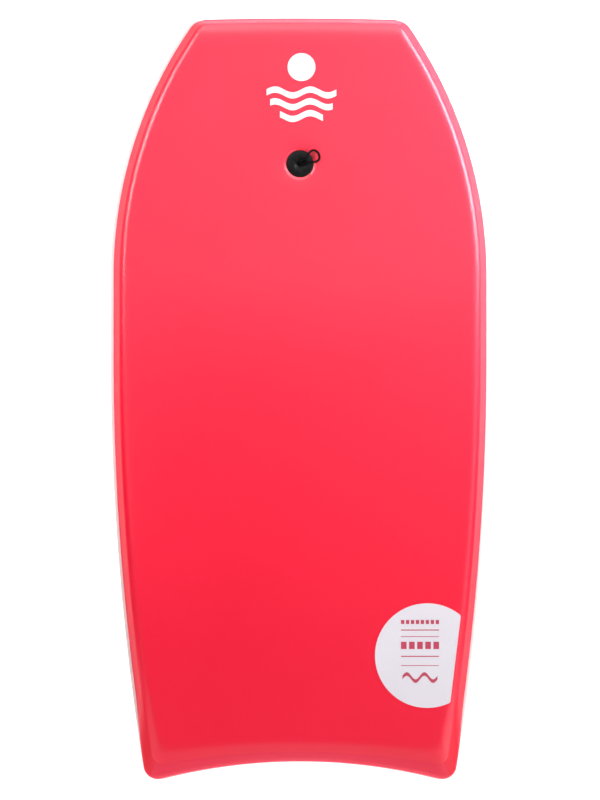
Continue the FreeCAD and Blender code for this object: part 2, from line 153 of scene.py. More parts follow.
# Half of the string loop's route, from the pivot to its far end: across, along, above the deck at the plug.
LOOP_ROUTE = [
    (0.0017, 0.0, -0.0022),
    (0.0021, 0.0036, 0.0013),
    (0.0028, 0.0090, 0.0040),
    (0.0040, 0.0146, 0.0048),
    (0.0078, 0.0184, 0.0041),
    (0.0081, 0.0264, 0.0025),
    (0.0, 0.0298, 0.0016),
]


def mix(a, b, share):
    """From a, when share is 0, to b, when it is 1."""
    return a + (b - a) * share


def smooth(t):
    """Eases from 0 to 1."""
    t = min(1.0, max(0.0, t))
    return t * t * (3 - 2 * t)


# ---------------------------------------------------------------- heights along the board


class Profile:
    """A height along the board: level in the middle, an arc up to the nose, an arc down to the tail."""

    def __init__(self, level, nose_rise, tail_drop=0.0):
        self.level = level
        self.nose = self.radius(HALF_LENGTH - STRAIGHT_NOSE_END, nose_rise)
        self.tail = self.radius(HALF_LENGTH + STRAIGHT_TAIL_END, tail_drop) if tail_drop else None

    @staticmethod
    def radius(run, rise):
        """The radius of an arc that starts level and rises by rise over run."""
        return (run * run + rise * rise) / (2 * rise)

    def z(self, y):
        if y > STRAIGHT_NOSE_END:
            return self.level + self.nose - math.sqrt(self.nose**2 - (y - STRAIGHT_NOSE_END) ** 2)
        if self.tail and y < STRAIGHT_TAIL_END:
            return self.level - self.tail + math.sqrt(self.tail**2 - (y - STRAIGHT_TAIL_END) ** 2)
        return self.level


DECK = Profile(
    CENTRE_THICKNESS,
    NOSE_ROCKER + NOSE_THICKNESS - CENTRE_THICKNESS,
    CENTRE_THICKNESS - TAIL_THICKNESS,
)
BOTTOM = Profile(0.0, NOSE_ROCKER)
APEX = Profile(
    APEX_HEIGHT,
    NOSE_ROCKER + APEX_HEIGHT / CENTRE_THICKNESS * NOSE_THICKNESS - APEX_HEIGHT,
)
APEX_DROP = CENTRE_THICKNESS - APEX_HEIGHT


def height(y, drop):
    """The height of a line that runs drop below the deck in the middle of the board."""
    if drop <= SKIN:
        return DECK.z(y) - drop
    if drop <= APEX_DROP:
        return mix(DECK.z(y) - SKIN, APEX.z(y), (drop - SKIN) / (APEX_DROP - SKIN))
    return mix(APEX.z(y), BOTTOM.z(y), (drop - APEX_DROP) / (CENTRE_THICKNESS - APEX_DROP))


# ---------------------------------------------------------------- outline, seen from above


def meet(centre_a, reach_a, centre_b, reach_b):
    """The point on the +X side that is reach_a from centre_a and reach_b from centre_b."""
    across = centre_b - centre_a
    gap = across.length
    along = (reach_a**2 - reach_b**2 + gap**2) / (2 * gap)
    off = math.sqrt(reach_a**2 - along**2)
    across.normalize()
    side = Vector((across.y, -across.x))
    return max((centre_a + across * along + side * off * sign for sign in (1, -1)), key=lambda p: p.x)


class Arc:
    """A plan arc from one point to another, the short way round its centre."""

    def __init__(self, centre, start, end):
        self.centre = centre
        self.radius = (start - centre).length
        self.a = math.atan2(start.y - centre.y, start.x - centre.x)
        turn = math.atan2(end.y - centre.y, end.x - centre.x) - self.a
        self.turn = (turn + math.pi) % (2 * math.pi) - math.pi

    def at(self, t):
        angle = self.a + t * self.turn
        return self.centre + Vector((math.cos(angle), math.sin(angle))) * self.radius


class Line:
    """A straight plan line from one point to another."""

    def __init__(self, start, end):
        self.start = start
        self.end = end

    def at(self, t):
        return self.start.lerp(self.end, t)


SIDE_NOSE_CENTRE = Vector((HALF_WIDTH - NOSE_SIDE_RADIUS, STRAIGHT_NOSE_END))
SIDE_TAIL_CENTRE = Vector((HALF_WIDTH - TAIL_SIDE_RADIUS, STRAIGHT_TAIL_END))
NOSE_CENTRE = Vector((0, HALF_LENGTH - NOSE_EDGE_RADIUS))


def tail_middle():
    """Where the bottom's tail edge crosses the centre line, if its corners end at the full length."""
    y = -HALF_LENGTH + BOTTOM_TAIL_CORNER
    side = TAIL_SIDE_RADIUS - BOTTOM_SIDE_INSET - BOTTOM_TAIL_CORNER
    x = SIDE_TAIL_CENTRE.x + math.sqrt(side**2 - (y - SIDE_TAIL_CENTRE.y) ** 2)
    return y - math.sqrt((TAIL_EDGE_RADIUS + BOTTOM_TAIL_CORNER) ** 2 - x * x) + TAIL_EDGE_RADIUS


TAIL_MIDDLE = tail_middle()


def tail_radius(inset):
    """The crescent flattens as it goes in from the tail's edge."""
    return 1 / (1 / TAIL_EDGE_RADIUS - CRESCENT_FADE * inset)


def corner_radii(side, nose, tail):
    """The radii of the nose's and the tail's corners, that far in from the board's outline."""
    at_nose = max(NOSE_CORNER_LEAST, NOSE_CORNER - NOSE_CORNER_LOSS * (side + nose))
    widening = TAIL_CORNER_GAIN * max(0, side + tail - TAIL_CORNER_TURN)
    return at_nose, TAIL_CORNER - TAIL_CORNER_LOSS * (side + tail) + widening


def outline(side, nose, tail):
    """The right half of a plan outline, nose to tail, that far in from the board's own."""
    tail_r = tail_radius(tail)
    nose_r = NOSE_EDGE_RADIUS - nose
    nose_side = NOSE_SIDE_RADIUS - side
    tail_side = TAIL_SIDE_RADIUS - side
    nose_corner, tail_corner = corner_radii(side, nose, tail)
    tail_centre = Vector((0, TAIL_MIDDLE + tail - tail_r))
    front = meet(SIDE_NOSE_CENTRE, nose_side - nose_corner, NOSE_CENTRE, nose_r - nose_corner)
    back = meet(SIDE_TAIL_CENTRE, tail_side - tail_corner, tail_centre, tail_r + tail_corner)

    def reach(centre, through, radius):
        return centre + (through - centre).normalized() * radius

    front_nose = reach(NOSE_CENTRE, front, nose_r)
    front_side = reach(SIDE_NOSE_CENTRE, front, nose_side)
    back_side = reach(SIDE_TAIL_CENTRE, back, tail_side)
    back_tail = reach(tail_centre, back, tail_r)
    x = HALF_WIDTH - side
    return [
        Arc(NOSE_CENTRE, NOSE_CENTRE + Vector((0, nose_r)), front_nose),
        Arc(front, front_nose, front_side),
        Arc(SIDE_NOSE_CENTRE, front_side, Vector((x, STRAIGHT_NOSE_END))),
        Line(Vector((x, STRAIGHT_NOSE_END)), Vector((x, STRAIGHT_TAIL_END))),
        Arc(SIDE_TAIL_CENTRE, Vector((x, STRAIGHT_TAIL_END)), back_side),
        Arc(back, back_side, back_tail),
        Arc(tail_centre, back_tail, tail_centre + Vector((0, tail_r))),
    ]


# Steps along each piece of the outline. The middles of the two corners split it into nose, side and tail.
STEPS = (50, 12, 90, 22, 112, 12, 50)
HALF = sum(STEPS)
NOSE_MITRE = STEPS[0] + STEPS[1] // 2
TAIL_MITRE = HALF - NOSE_MITRE


# Where along the outline the side's section turns into the tail's: the piece's number plus the share of it.
TAIL_WRAP_START = 4.82
TAIL_WRAP_LENGTH = 0.16
TAIL_APEX = 1.5 * MM  # how far in the tail's apex is


def ring(side, nose, tail, step=1):
    """A closed line round the board. Each argument is (inset from the outline, drop below the deck), mm."""
    side, side_drop = side[0] * MM, side[1] * MM
    nose, nose_drop = nose[0] * MM, nose[1] * MM
    tail, tail_drop = tail[0] * MM, tail[1] * MM
    # Above the apex the tail's section also wraps round the corner.
    wrapped = tail - TAIL_APEX if side_drop < APEX_DROP else side
    pieces = zip(outline(side, nose, tail), outline(wrapped, nose, tail), STEPS)
    half = []
    for k, (piece, tail_piece, steps) in enumerate(pieces):
        for i in range(steps):
            t = i / steps
            to_side = smooth(k + t - 1)
            to_tail = smooth((k + t - TAIL_WRAP_START) / TAIL_WRAP_LENGTH)
            p = piece.at(t).lerp(tail_piece.at(t), to_tail)
            drop = mix(mix(nose_drop, side_drop, to_side), tail_drop, to_tail)
            half.append(Vector((p.x, p.y, height(p.y, drop))))
    y = TAIL_MIDDLE + tail
    half[0].x = 0.0
    half.append(Vector((0.0, y, height(y, tail_drop))))
    mirrored = [Vector((-p.x, p.y, p.z)) for p in reversed(half[1:-1])]
    return (half + mirrored)[::step]


# ---------------------------------------------------------------- the section

# Rows from the flat of the deck outwards and down: (inset, drop) in mm at the side, the nose and the tail.
DECK_ROLL = [
    ((30, 0), (37, 0), (41, 0)),
    ((26.5, 0.02), (31, 0.02), (36, 0.01)),
    ((24, 0.1), (27, 0.1), (32, 0.05)),
    ((22, 0.27), (23.4, 0.26), (29, 0.18)),
    ((20.4, 0.56), (20.2, 0.56), (26.6, 0.48)),
    ((19, 0.94), (17.4, 1.0), (24.4, 0.94)),
    ((17.8, 1.38), (15, 1.58), (22.2, 1.5)),
    ((16.7, 1.88), (12.7, 2.26), (20, 2.1)),
    ((15.7, 2.42), (10.8, 2.82), (17.7, 2.76)),
    ((14.8, 2.96), (9.4, 3.2), (16.5, 3.12)),
    ((14.15, 3.4), (8.5, 3.44), (15.8, 3.4)),
    ((14.8, 3.5), (9.2, 3.5), (16.6, 3.5)),
]
UPPER_RAIL = [
    ((14.5, 3.58), (8.9, 3.58), (16.3, 3.58)),
    ((13.8, 3.82), (8.1, 3.78), (15.5, 3.76)),
    ((13.1, 4.5), (7.4, 4.4), (13.9, 4.3)),
    ((12.4, 5.6), (6.9, 5.6), (11.7, 5.2)),
    ((11.6, 7.4), (6.3, 7.4), (9.3, 6.25)),
    ((10.7, 10.1), (5.6, 9.8), (6.9, 7.35)),
    ((9.4, 13.6), (4.8, 13.0), (5.1, 8.3)),
    ((7.8, 17.6), (3.9, 17.2), (3.7, 9.6)),
    ((6.3, 21.6), (2.9, 21.6), (2.8, 11.6)),
    ((5.1, 25), (2.0, 25.3), (2.2, 15)),
    ((4.3, 27), (1.4, 27.2), (1.85, 21.5)),
    ((4.0, 27.9), (1.2, 27.9), (1.7, 27.9)),
]
LOWER_RAIL = [
    ((3.9, 28.1), (1.1, 28.1), (1.65, 28.1)),
    ((2.8, 28.25), (0.9, 28.3), (1.63, 28.4)),
    ((1.7, 28.6), (0.6, 28.8), (1.6, 28.9)),
    ((0.8, 29.3), (0.3, 29.6), (1.58, 29.6)),
    ((0.2, 30.2), (0.1, 30.5), (1.55, 30.4)),
    ((0.0, 31.2), (0.0, 31.4), (1.5, 31.2)),
    ((0.3, 32.6), (0.2, 32.8), (1.45, 32.6)),
    ((1.5, 36.4), (1.0, 36.4), (1.2, 36.4)),
    ((3.4, 41.4), (2.2, 41.4), (0.9, 41.4)),
    ((5.1, 45.7), (3.3, 45.7), (0.65, 45.7)),
    ((5.9, 47.5), (3.9, 47.5), (0.95, 47.5)),
    ((6.6, 47.95), (4.6, 47.95), (1.75, 47.95)),
]
BACKING_EDGE = [
    ((7.1, 48.05), (5.1, 48.05), (2.2, 48.05)),
    ((6.5, 48.4), (4.4, 48.4), (1.0, 48.4)),
    ((6.7, 49.5), (4.6, 49.5), (0.6, 49.5)),
    ((7.2, 50.6), (5.0, 50.6), (0.4, 50.6)),
    ((8.0, 50.95), (5.8, 50.95), (1.2, 50.95)),
]
SLICK_EDGE = [
    ((8.3, 51.05), (6.1, 51.05), (1.5, 51.05)),
    ((7.7, 51.2), (5.4, 51.2), (0.3, 51.2)),
    ((8.0, 51.6), (5.7, 51.6), (0.2, 51.6)),
    ((8.9, 51.9), (6.6, 51.9), (0.9, 51.9)),
    ((10.5, 52), (8.2, 52), (2.4, 52)),
]
BACKING_DROPS = (48.05, 50.95)  # the top and the underside of each sheet's flat field, mm
SLICK_DROPS = (51.05, 52.0)
STRIP_INSET = 22  # how far the foam strips reach in, mm
FIELD_INSETS = (34, 42, 46)  # where the sheets' flat fields begin at the side, the nose and the tail, mm


def rings(rows, step=1):
    """The ring of each row of a section."""
    return [ring(*row, step=step) for row in rows]


def flat_ring(drop, step=1):
    """The ring round a sheet's flat field, at a drop in mm."""
    return ring(*[(inset, drop) for inset in FIELD_INSETS], step=step)


# ---------------------------------------------------------------- mesh helpers


class Mesh:
    """Collects vertices and faces, then makes the piece."""

    def __init__(self):
        self.points = []
        self.faces = []

    def add(self, points):
        """Takes the points in and gives their numbers."""
        first = len(self.points)
        self.points += [Vector(p) for p in points]
        return list(range(first, len(self.points)))

    def bridge(self, a, b, closed=True):
        """Quads between two lines of equal length."""
        count = len(a)
        for i in range(count if closed else count - 1):
            k = (i + 1) % count
            self.faces.append((a[i], a[k], b[k], b[i]))

    def tube(self, loops, closed=True, ring_closed=True):
        """Quads from each line to the next, and back to the first if closed."""
        for a, b in zip(loops, loops[1:] + (loops[:1] if closed else [])):
            self.bridge(a, b, ring_closed)

    def make(self, name, material, sharp=None):
        """The object, smooth except along edges that turn by more than sharp degrees."""
        mesh = bpy.data.meshes.new(name)
        mesh.from_pydata(self.points, [], self.faces)
        mesh.validate()
        mesh.update()
        piece = bpy.data.objects.new(name, mesh)
        bpy.context.scene.collection.objects.link(piece)
        mesh.materials.append(material)
        mesh.shade_smooth()
        if sharp:
            mesh.set_sharp_from_angle(angle=math.radians(sharp))
        orient(mesh)
        return piece


def orient(mesh):
    """Turns every face outwards."""
    bm = bmesh.new()
    bm.from_mesh(mesh)
    bmesh.ops.recalc_face_normals(bm, faces=bm.faces)
    bm.to_mesh(mesh)
    bm.free()


def finish_piece(piece, body, node):
    """Hides the frame node that the piece stands in for, and hangs the piece on its body."""
    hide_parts(node)
    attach(piece, body)
    return piece


# ---------------------------------------------------------------- sheets: deck skin, backing foam, slick


def coons(border, step):
    """A grid of plan points inside a border ring: rows from nose to tail, points from left to right."""
    mitre, total, half = NOSE_MITRE // step, len(border), len(border) // 2
    wide, long = 2 * mitre, half - 2 * mitre
    nose = [border[(j - mitre) % total] for j in range(wide + 1)]
    tail = [border[half + mitre - j] for j in range(wide + 1)]
    right = [border[mitre + i] for i in range(long + 1)]
    left = [border[(total - mitre - i) % total] for i in range(long + 1)]
    rows = []
    for i in range(long + 1):
        v = i / long
        row = []
        for j in range(wide + 1):
            u = j / wide
            edges = nose[j] * (1 - v) + tail[j] * v + left[i] * (1 - u) + right[i] * u
            corners = (nose[0] * (1 - u) + nose[-1] * u) * (1 - v) + (tail[0] * (1 - u) + tail[-1] * u) * v
            row.append(edges - corners)
        rows.append(row)
    return rows


def border_order(index, step):
    """The grid's outer vertices, in the border ring's order."""
    rows, columns = len(index), len(index[0])
    mitre = NOSE_MITRE // step
    nose = [index[0][j] for j in range(columns)]
    right = [index[i][-1] for i in range(1, rows)]
    tail = [index[-1][j] for j in range(columns - 2, -1, -1)]
    left = [index[i][0] for i in range(rows - 2, 0, -1)]
    whole = nose + right + tail + left
    return whole[mitre:] + whole[:mitre]


HOLE_PATCH = 54 * MM  # half the side of the square that the hole's rings fill


def hole_square(grid, centre):
    """That square in the grid: its first and last rows and columns."""
    rows, columns = [], []
    for i, row in enumerate(grid):
        for j, p in enumerate(row):
            if abs(p.x - centre[0]) < HOLE_PATCH and abs(p.y - centre[1]) < HOLE_PATCH:
                rows.append(i)
                columns.append(j)
    return min(rows), max(rows), min(columns), max(columns)


def square_edge(top, low, first, last):
    """The places once round a square of the grid."""
    edge = [(top, j) for j in range(first, last)]
    edge += [(i, last) for i in range(top, low)]
    edge += [(low, j) for j in range(last, first, -1)]
    edge += [(i, first) for i in range(low, top, -1)]
    return edge


def field(mesh, border, level, centre, hole_rings, step=1):
    """A sheet's flat field inside its border ring, with a round hole at centre.

    level gives the height at (x, y). hole_rings is (radius, height below the field), inwards. It returns the
    vertices of the border and of the last hole ring.
    """
    grid = coons(border, step)
    top, low, first, last = hole_square(grid, centre)
    index = []
    for i, row in enumerate(grid):
        line = []
        for j, p in enumerate(row):
            hidden = top < i < low and first < j < last
            line.append(None if hidden else mesh.add([(p.x, p.y, level(p.x, p.y))])[0])
        index.append(line)
    for i in range(len(grid) - 1):
        for j in range(len(grid[0]) - 1):
            if not (top <= i < low and first <= j < last):
                mesh.faces.append((index[i][j], index[i][j + 1], index[i + 1][j + 1], index[i + 1][j]))
    edge = square_edge(top, low, first, last)
    loop = [index[i][j] for i, j in edge]
    angles = [math.atan2(grid[i][j].y - centre[1], grid[i][j].x - centre[0]) for i, j in edge]
    for radius, below in hole_rings:
        circle = []
        for a in angles:
            x, y = centre[0] + radius * math.cos(a), centre[1] + radius * math.sin(a)
            circle.append((x, y, level(x, y) - below))
        inner = mesh.add(circle)
        mesh.bridge(loop, inner)
        loop = inner
    return border_order(index, step), loop


def dimple(x, y):
    """How far the plug pulls the deck down at a point."""
    r = math.hypot(x, y - PLUG_Y)
    return DIMPLE_DEPTH * (1 - smooth((r - SEAT_RADIUS) / (DIMPLE_REACH - SEAT_RADIUS)))


def ripple(x, y):
    """The laminated skin is never quite flat, except along its rolled edge."""
    waves = noise.noise(Vector((x * RIPPLE_SCALE, y * RIPPLE_SCALE, 0.3)))
    return RIPPLE_HEIGHT * waves * smooth((RIPPLE_HALF_WIDTH - abs(x)) / RIPPLE_FADE)


def deck_height(x, y):
    return DECK.z(y) - dimple(x, y) + ripple(x, y)


# Round the plug, inwards: radius and depth below the dimple, in mm. The last row is under the flange.
SEAT_WALL = [
    *[(radius, 0) for radius in (44, 39, 34, 30, 26)],
    (23.0, 0.02),
    (22.2, 0.07),
    (21.6, 0.22),
    (21.1, 0.43),
    (20.6, 0.67),
    (20.0, 0.96),
    (19.5, 1.20),
    (19.0, 1.44),
    (18.7, 1.58),
    (18.6, 2.0),
    (PLUG_HOLE_RADIUS / MM, 2.05),
]
# The same for the deck skin's underside and for the sheets below it, in metres.
DECK_UNDER_RINGS = ((40 * MM, 0), (PLUG_HOLE_RADIUS, 0))
SHEET_HOLE_RINGS = ((44 * MM, 0), (30 * MM, 0), (17 * MM, 0), (PLUG_HOLE_RADIUS, 0))
SHEET_STEP = 2  # the hidden sheets take every second point of their rings


def deck_skin(material):
    """The deck: field, dimple, sloping seat for the flange, rolled edge, and the sheet's underside."""
    mesh = Mesh()
    seat = [(r * MM, below * MM) for r, below in SEAT_WALL]
    centre = (0.0, PLUG_Y)
    top, bore = field(mesh, flat_ring(0), deck_height, centre, seat)
    under, bore_low = field(
        mesh,
        flat_ring(SKIN / MM),
        lambda x, y: DECK.z(y) - SKIN,
        centre,
        DECK_UNDER_RINGS,
    )
    mesh.bridge(bore, bore_low)
    loops = [top] + [mesh.add(r) for r in rings(DECK_ROLL)] + [under]
    mesh.tube(loops, closed=False)
    return finish_piece(mesh.make("deck_skin_soft", material, 50), "board", "deck_skin")


def sheet(name, material, edge_rows, top_drop, low_drop, slot, node):
    """The backing foam or the slick: two fields and the edge between them, with the plug's hole."""
    mesh = Mesh()
    centre = (0.0, PLUG_BASE_CENTRE.y)

    def flat(drop):
        border = flat_ring(drop, SHEET_STEP)
        return field(mesh, border, lambda x, y: height(y, drop * MM), centre, SHEET_HOLE_RINGS, SHEET_STEP)

    top, bore = flat(top_drop)
    low, bore_low = flat(low_drop)
    mesh.bridge(bore, bore_low)
    mesh.tube([top] + [mesh.add(r) for r in rings(edge_rows, SHEET_STEP)] + [low], closed=False)
    return finish_piece(mesh.make(name, material, 50), "board", node)


# ---------------------------------------------------------------- foam strips: rails, nose, tail


# Drops of the strips' hidden tops and bottoms, mm, and of the seam inside the nose and tail strips.
UPPER_TOP, UPPER_LOW = 3.55, 27.9
LOWER_TOP, LOWER_LOW = 28.1, 47.95
END_SEAM = 27.95


def strip(name, material, layers, node):
    """A foam strip along the outline. Each layer is (its section's rows, first step, last step)."""
    mesh = Mesh()
    total = 2 * HALF
    for rows, first, last in layers:
        lines = rings(rows)
        sections = [mesh.add([line[i % total] for line in lines]) for i in range(first, last + 1)]
        mesh.tube(sections, closed=False)
        mesh.faces += [tuple(sections[0]), tuple(sections[-1])]
    return finish_piece(mesh.make(name, material, 40), "board", node)


def hidden_rows(top_drop, low_drop):
    """The buried back of a strip, from the bottom up."""
    drops = (low_drop, mix(low_drop, top_drop, 0.5), top_drop)
    return [((STRIP_INSET, drop),) * 3 for drop in drops]


def foam_strips(red, end_red, white):
    """Red upper rails over white lower ones. The white runs on round the nose's corners only."""
    upper = UPPER_RAIL + hidden_rows(UPPER_TOP, UPPER_LOW)
    lower = LOWER_RAIL + hidden_rows(LOWER_TOP, LOWER_LOW)
    meeting = tuple((inset, END_SEAM) for inset, _ in UPPER_RAIL[-1])
    lower_red = [meeting] + LOWER_RAIL[1:] + hidden_rows(END_SEAM, LOWER_LOW)
    nose, tail, total = NOSE_MITRE, TAIL_MITRE, 2 * HALF
    nose_low = STEPS[0]
    tail_low = HALF - STEPS[-1] - STEPS[-2]
    upper_ends = {"right": (nose, tail), "left": (total - tail, total - nose)}
    lower_ends = {"right": (nose_low, tail_low), "left": (total - tail_low, total - nose_low)}
    for hand in ("right", "left"):
        node = f"upper_rail_{hand}"
        strip(f"{node}_foam", red, [(upper, *upper_ends[hand])], node)
        node = f"lower_rail_{hand}"
        strip(f"{node}_foam", white, [(lower, *lower_ends[hand])], node)
    front = [(upper, total - nose, total + nose), (lower_red, total - nose_low, total + nose_low)]
    back = [(upper, tail, total - tail), (lower_red, tail_low, total - tail_low)]
    strip("nose_strip_foam", end_red, front, "nose_strip")
    strip("tail_strip_foam", end_red, back, "tail_strip")


# ---------------------------------------------------------------- prints


def disc_film(mesh, centre, radius_at, rings_in, points):
    """A round print on the deck; radius_at gives its edge at an angle."""
    angles = [2 * math.pi * i / points for i in range(points)]
    levels = []
    for lift in (PRINT_FILM, -PRINT_ROOT):
        rows = []
        for k in range(1, rings_in + 1):
            row = []
            for a in angles:
                reach = radius_at(a) * k / rings_in
                x, y = centre[0] + reach * math.cos(a), centre[1] + reach * math.sin(a)
                row.append((x, y, deck_height(x, y) + lift))
            rows.append(mesh.add(row))
        middle = mesh.add([(*centre, deck_height(*centre) + lift)])[0]
        mesh.faces += [(middle, rows[0][i], rows[0][(i + 1) % points]) for i in range(points)]
        mesh.tube(rows, closed=False)
        levels.append(rows[-1])
    mesh.bridge(*levels)


def film(mesh, grid, low, thick):
    """A thin closed solid from a grid of plan points, with its top low + thick above the deck."""
    sheets = []
    for lift in (low + thick, low - PRINT_ROOT):
        sheets.append([mesh.add([(x, y, deck_height(x, y) + lift) for x, y in row]) for row in grid])
    top, under = sheets
    mesh.tube(top, closed=False, ring_closed=False)
    mesh.tube([row[::-1] for row in under], closed=False, ring_closed=False)
    for pair in ((top[0], under[0]), (top[-1], under[-1])):
        mesh.bridge(*pair, closed=False)
    for k in (0, -1):
        mesh.bridge([row[k] for row in top], [row[k] for row in under], closed=False)


def band_grid(centre, width, thick, wave=None, rise=0.0):
    """Plan points of a level bar, or of a wave when its length is given."""
    lines = 4
    count = max(6, round(width / (2 * MM)))
    rows = []
    for k in range(lines + 1):
        v = mix(-0.5, 0.5, k / lines) * thick
        row = []
        for i in range(count + 1):
            x = mix(-width / 2, width / 2, i / count)
            y = v + (rise * math.sin(2 * math.pi * x / wave) if wave else 0.0)
            row.append((centre[0] + x, centre[1] + y))
        rows.append(row)
    return rows


def emblem(material):
    """A plain sun over three waves, cut to a circle."""
    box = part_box("emblem_print")
    x = (box[0].x + box[1].x) / 2
    mesh = Mesh()
    disc_film(mesh, (x, EMBLEM_Y + SUN_ABOVE), lambda a: SUN_RADIUS, rings_in=8, points=72)
    for below in WAVES_BELOW:
        width = 2 * math.sqrt(EMBLEM_RADIUS**2 - below**2)
        wave = band_grid((x, EMBLEM_Y - below), width, WAVE_BAND, WAVE_LENGTH, WAVE_HEIGHT)
        film(mesh, wave, 0, PRINT_FILM)
    finish_piece(mesh.make("emblem_ink", material, 40), "board", "emblem_print")


def label_edge(angle):
    """Distance from the label's centre to its edge: a circle with a straight side along the rail."""
    top, low = LABEL_CUT
    along = (top - low).normalized()
    out = Vector((along.y, -along.x))
    facing = Vector((math.cos(angle), math.sin(angle))).dot(out)
    if facing <= 0.01:
        return LABEL_RADIUS
    return min(LABEL_RADIUS, (top - Vector(LABEL_CENTRE)).dot(out) / facing)


def blocks(mesh, x, up, deep, count, gap):
    """A row of equal blocks about x, that far above the label's centre."""
    each = (MARKS_WIDTH - gap * (count - 1)) / count
    for k in range(count):
        left = x - MARKS_WIDTH / 2 + (each + gap) * k
        spot = (left + each / 2, LABEL_CENTRE[1] + up)
        film(mesh, band_grid(spot, each, deep), PRINT_FILM, INK_FILM)


def label(paper, ink_red):
    """The white label, cut off along the rail, and plain marks in place of its lettering."""
    mesh = Mesh()
    disc_film(mesh, LABEL_CENTRE, label_edge, rings_in=24, points=240)
    finish_piece(mesh.make("label_ink_white", paper, 40), "board", "label_print")

    marks = Mesh()
    x = LABEL_CENTRE[0] - MARKS_LEFT_OF_CENTRE
    for row in LABEL_BLOCKS:
        blocks(marks, x, *row)
    up, *wave = LABEL_WAVE
    film(marks, band_grid((x, LABEL_CENTRE[1] + up), *wave), PRINT_FILM, INK_FILM)
    finish_piece(marks.make("label_ink_red", ink_red, 40), "board", "label_marks")


# ---------------------------------------------------------------- string loop


def plug_tilt():
    """The plug stands half way between the deck's slope and the bottom's."""
    slopes = [math.asin((PLUG_Y - STRAIGHT_NOSE_END) / profile.nose) for profile in (DECK, BOTTOM)]
    return sum(slopes) / 2


PLUG_PLACE = Matrix.Translation((0, PLUG_Y, DECK.z(PLUG_Y))) @ Matrix.Rotation(plug_tilt(), 4, "X")


def string_point(across, along, above):
    """A point of the string, from the plug's own frame."""
    a = LOOP_HEADING
    here = (along * math.cos(a) - across * math.sin(a), along * math.sin(a) + across * math.cos(a), above)
    return PLUG_PLACE @ Vector(here)


def spline_points(points, resolution=16):
    """Points along the smooth line that has those control points."""
    curve = bpy.data.curves.new("string_line", "CURVE")
    curve.dimensions = "3D"
    spline = curve.splines.new("NURBS")
    spline.points.add(len(points) - 1)
    for spot, p in zip(spline.points, points):
        spot.co = (*p, 1.0)
    spline.order_u = 3
    spline.use_endpoint_u = True
    spline.resolution_u = resolution
    holder = bpy.data.objects.new("string_line", curve)
    mesh = bpy.data.meshes.new_from_object(holder)
    line = [v.co.copy() for v in mesh.vertices]
    bpy.data.objects.remove(holder)
    bpy.data.curves.remove(curve)
    bpy.data.meshes.remove(mesh)
    return line


def frames_along(line):
    """The line's direction at each of its points, and a steady pair of directions across it."""
    tangents = []
    for i in range(len(line)):
        tangents.append((line[min(i + 1, len(line) - 1)] - line[max(i - 1, 0)]).normalized())
    across = tangents[0].orthogonal().normalized()
    sides = []
    for before, tangent in zip([tangents[0]] + tangents, tangents):
        across = before.rotation_difference(tangent) @ across
        across = (across - tangent * across.dot(tangent)).normalized()
        sides.append((across, tangent.cross(across)))
    return tangents, sides


def evenly(line, step):
    """Points about step apart along a line, and the line's length."""
    lengths = [0.0]
    for a, b in zip(line, line[1:]):
        lengths.append(lengths[-1] + (b - a).length)
    count = round(lengths[-1] / step)
    points = []
    where = 0
    for i in range(count + 1):
        s = lengths[-1] * i / count
        while where < len(lengths) - 2 and lengths[where + 1] < s:
            where += 1
        span = lengths[where + 1] - lengths[where]
        points.append(line[where].lerp(line[where + 1], (s - lengths[where]) / span))
    return points, lengths[-1]


def braid_radius(s, angle):
    """The braid's relief at a distance along it: strands wind both ways, and the upper one shows."""
    one = math.cos(BRAID_STRANDS * (angle - 2 * math.pi * s / BRAID_PITCH))
    two = math.cos(BRAID_STRANDS * (angle + 2 * math.pi * s / BRAID_PITCH))
    relief = BRAID_VALLEY + BRAID_RISE * max(one, two) + BRAID_CROSSING * one * two
    return STRING_DIAMETER / 2 * relief


def string_circle(centre, sides, radius_at):
    """Points round the string; radius_at gives the radius at an angle."""
    u, v = sides
    angles = [2 * math.pi * m / STRING_SIDES for m in range(STRING_SIDES)]
    return [centre + (u * math.cos(a) + v * math.sin(a)) * radius_at(a) for a in angles]


def string_cap(end, outwards, sides):
    """The circles of a rounded end, from the string outwards."""
    radius = STRING_DIAMETER / 2
    circles = []
    for k in range(1, STRING_CAP_STEPS + 1):
        tilt = math.pi / 2 * k / (STRING_CAP_STEPS + 1)
        centre = end + outwards * radius * math.sin(tilt)
        width = radius * STRING_CAP_WIDTH * math.cos(tilt)
        circles.append(string_circle(centre, sides, lambda a: width))
    return circles


def string_loop(material):
    """A braided cord: strands laid over and under each other round the loop's line."""
    back = [(-across, along, above) for across, along, above in reversed(LOOP_ROUTE[:-1])]
    line = spline_points([string_point(*p) for p in LOOP_ROUTE + back])
    points, length = evenly(line, STRING_STEP)
    tangents, sides = frames_along(points)
    circles = string_cap(points[0], -tangents[0], sides[0])[::-1]
    for i, (p, across) in enumerate(zip(points, sides)):
        s = length * i / (len(points) - 1)
        circles.append(string_circle(p, across, lambda a: braid_radius(s, a)))
    circles += string_cap(points[-1], tangents[-1], sides[-1])
    mesh = Mesh()
    loops = [mesh.add(circle) for circle in circles]
    mesh.tube(loops, closed=False)
    mesh.faces += [tuple(loops[0]), tuple(loops[-1])]
    piece = finish_piece(mesh.make("string_loop_braid", material), "loop", "string_loop")


# ---------------------------------------------------------------- materials


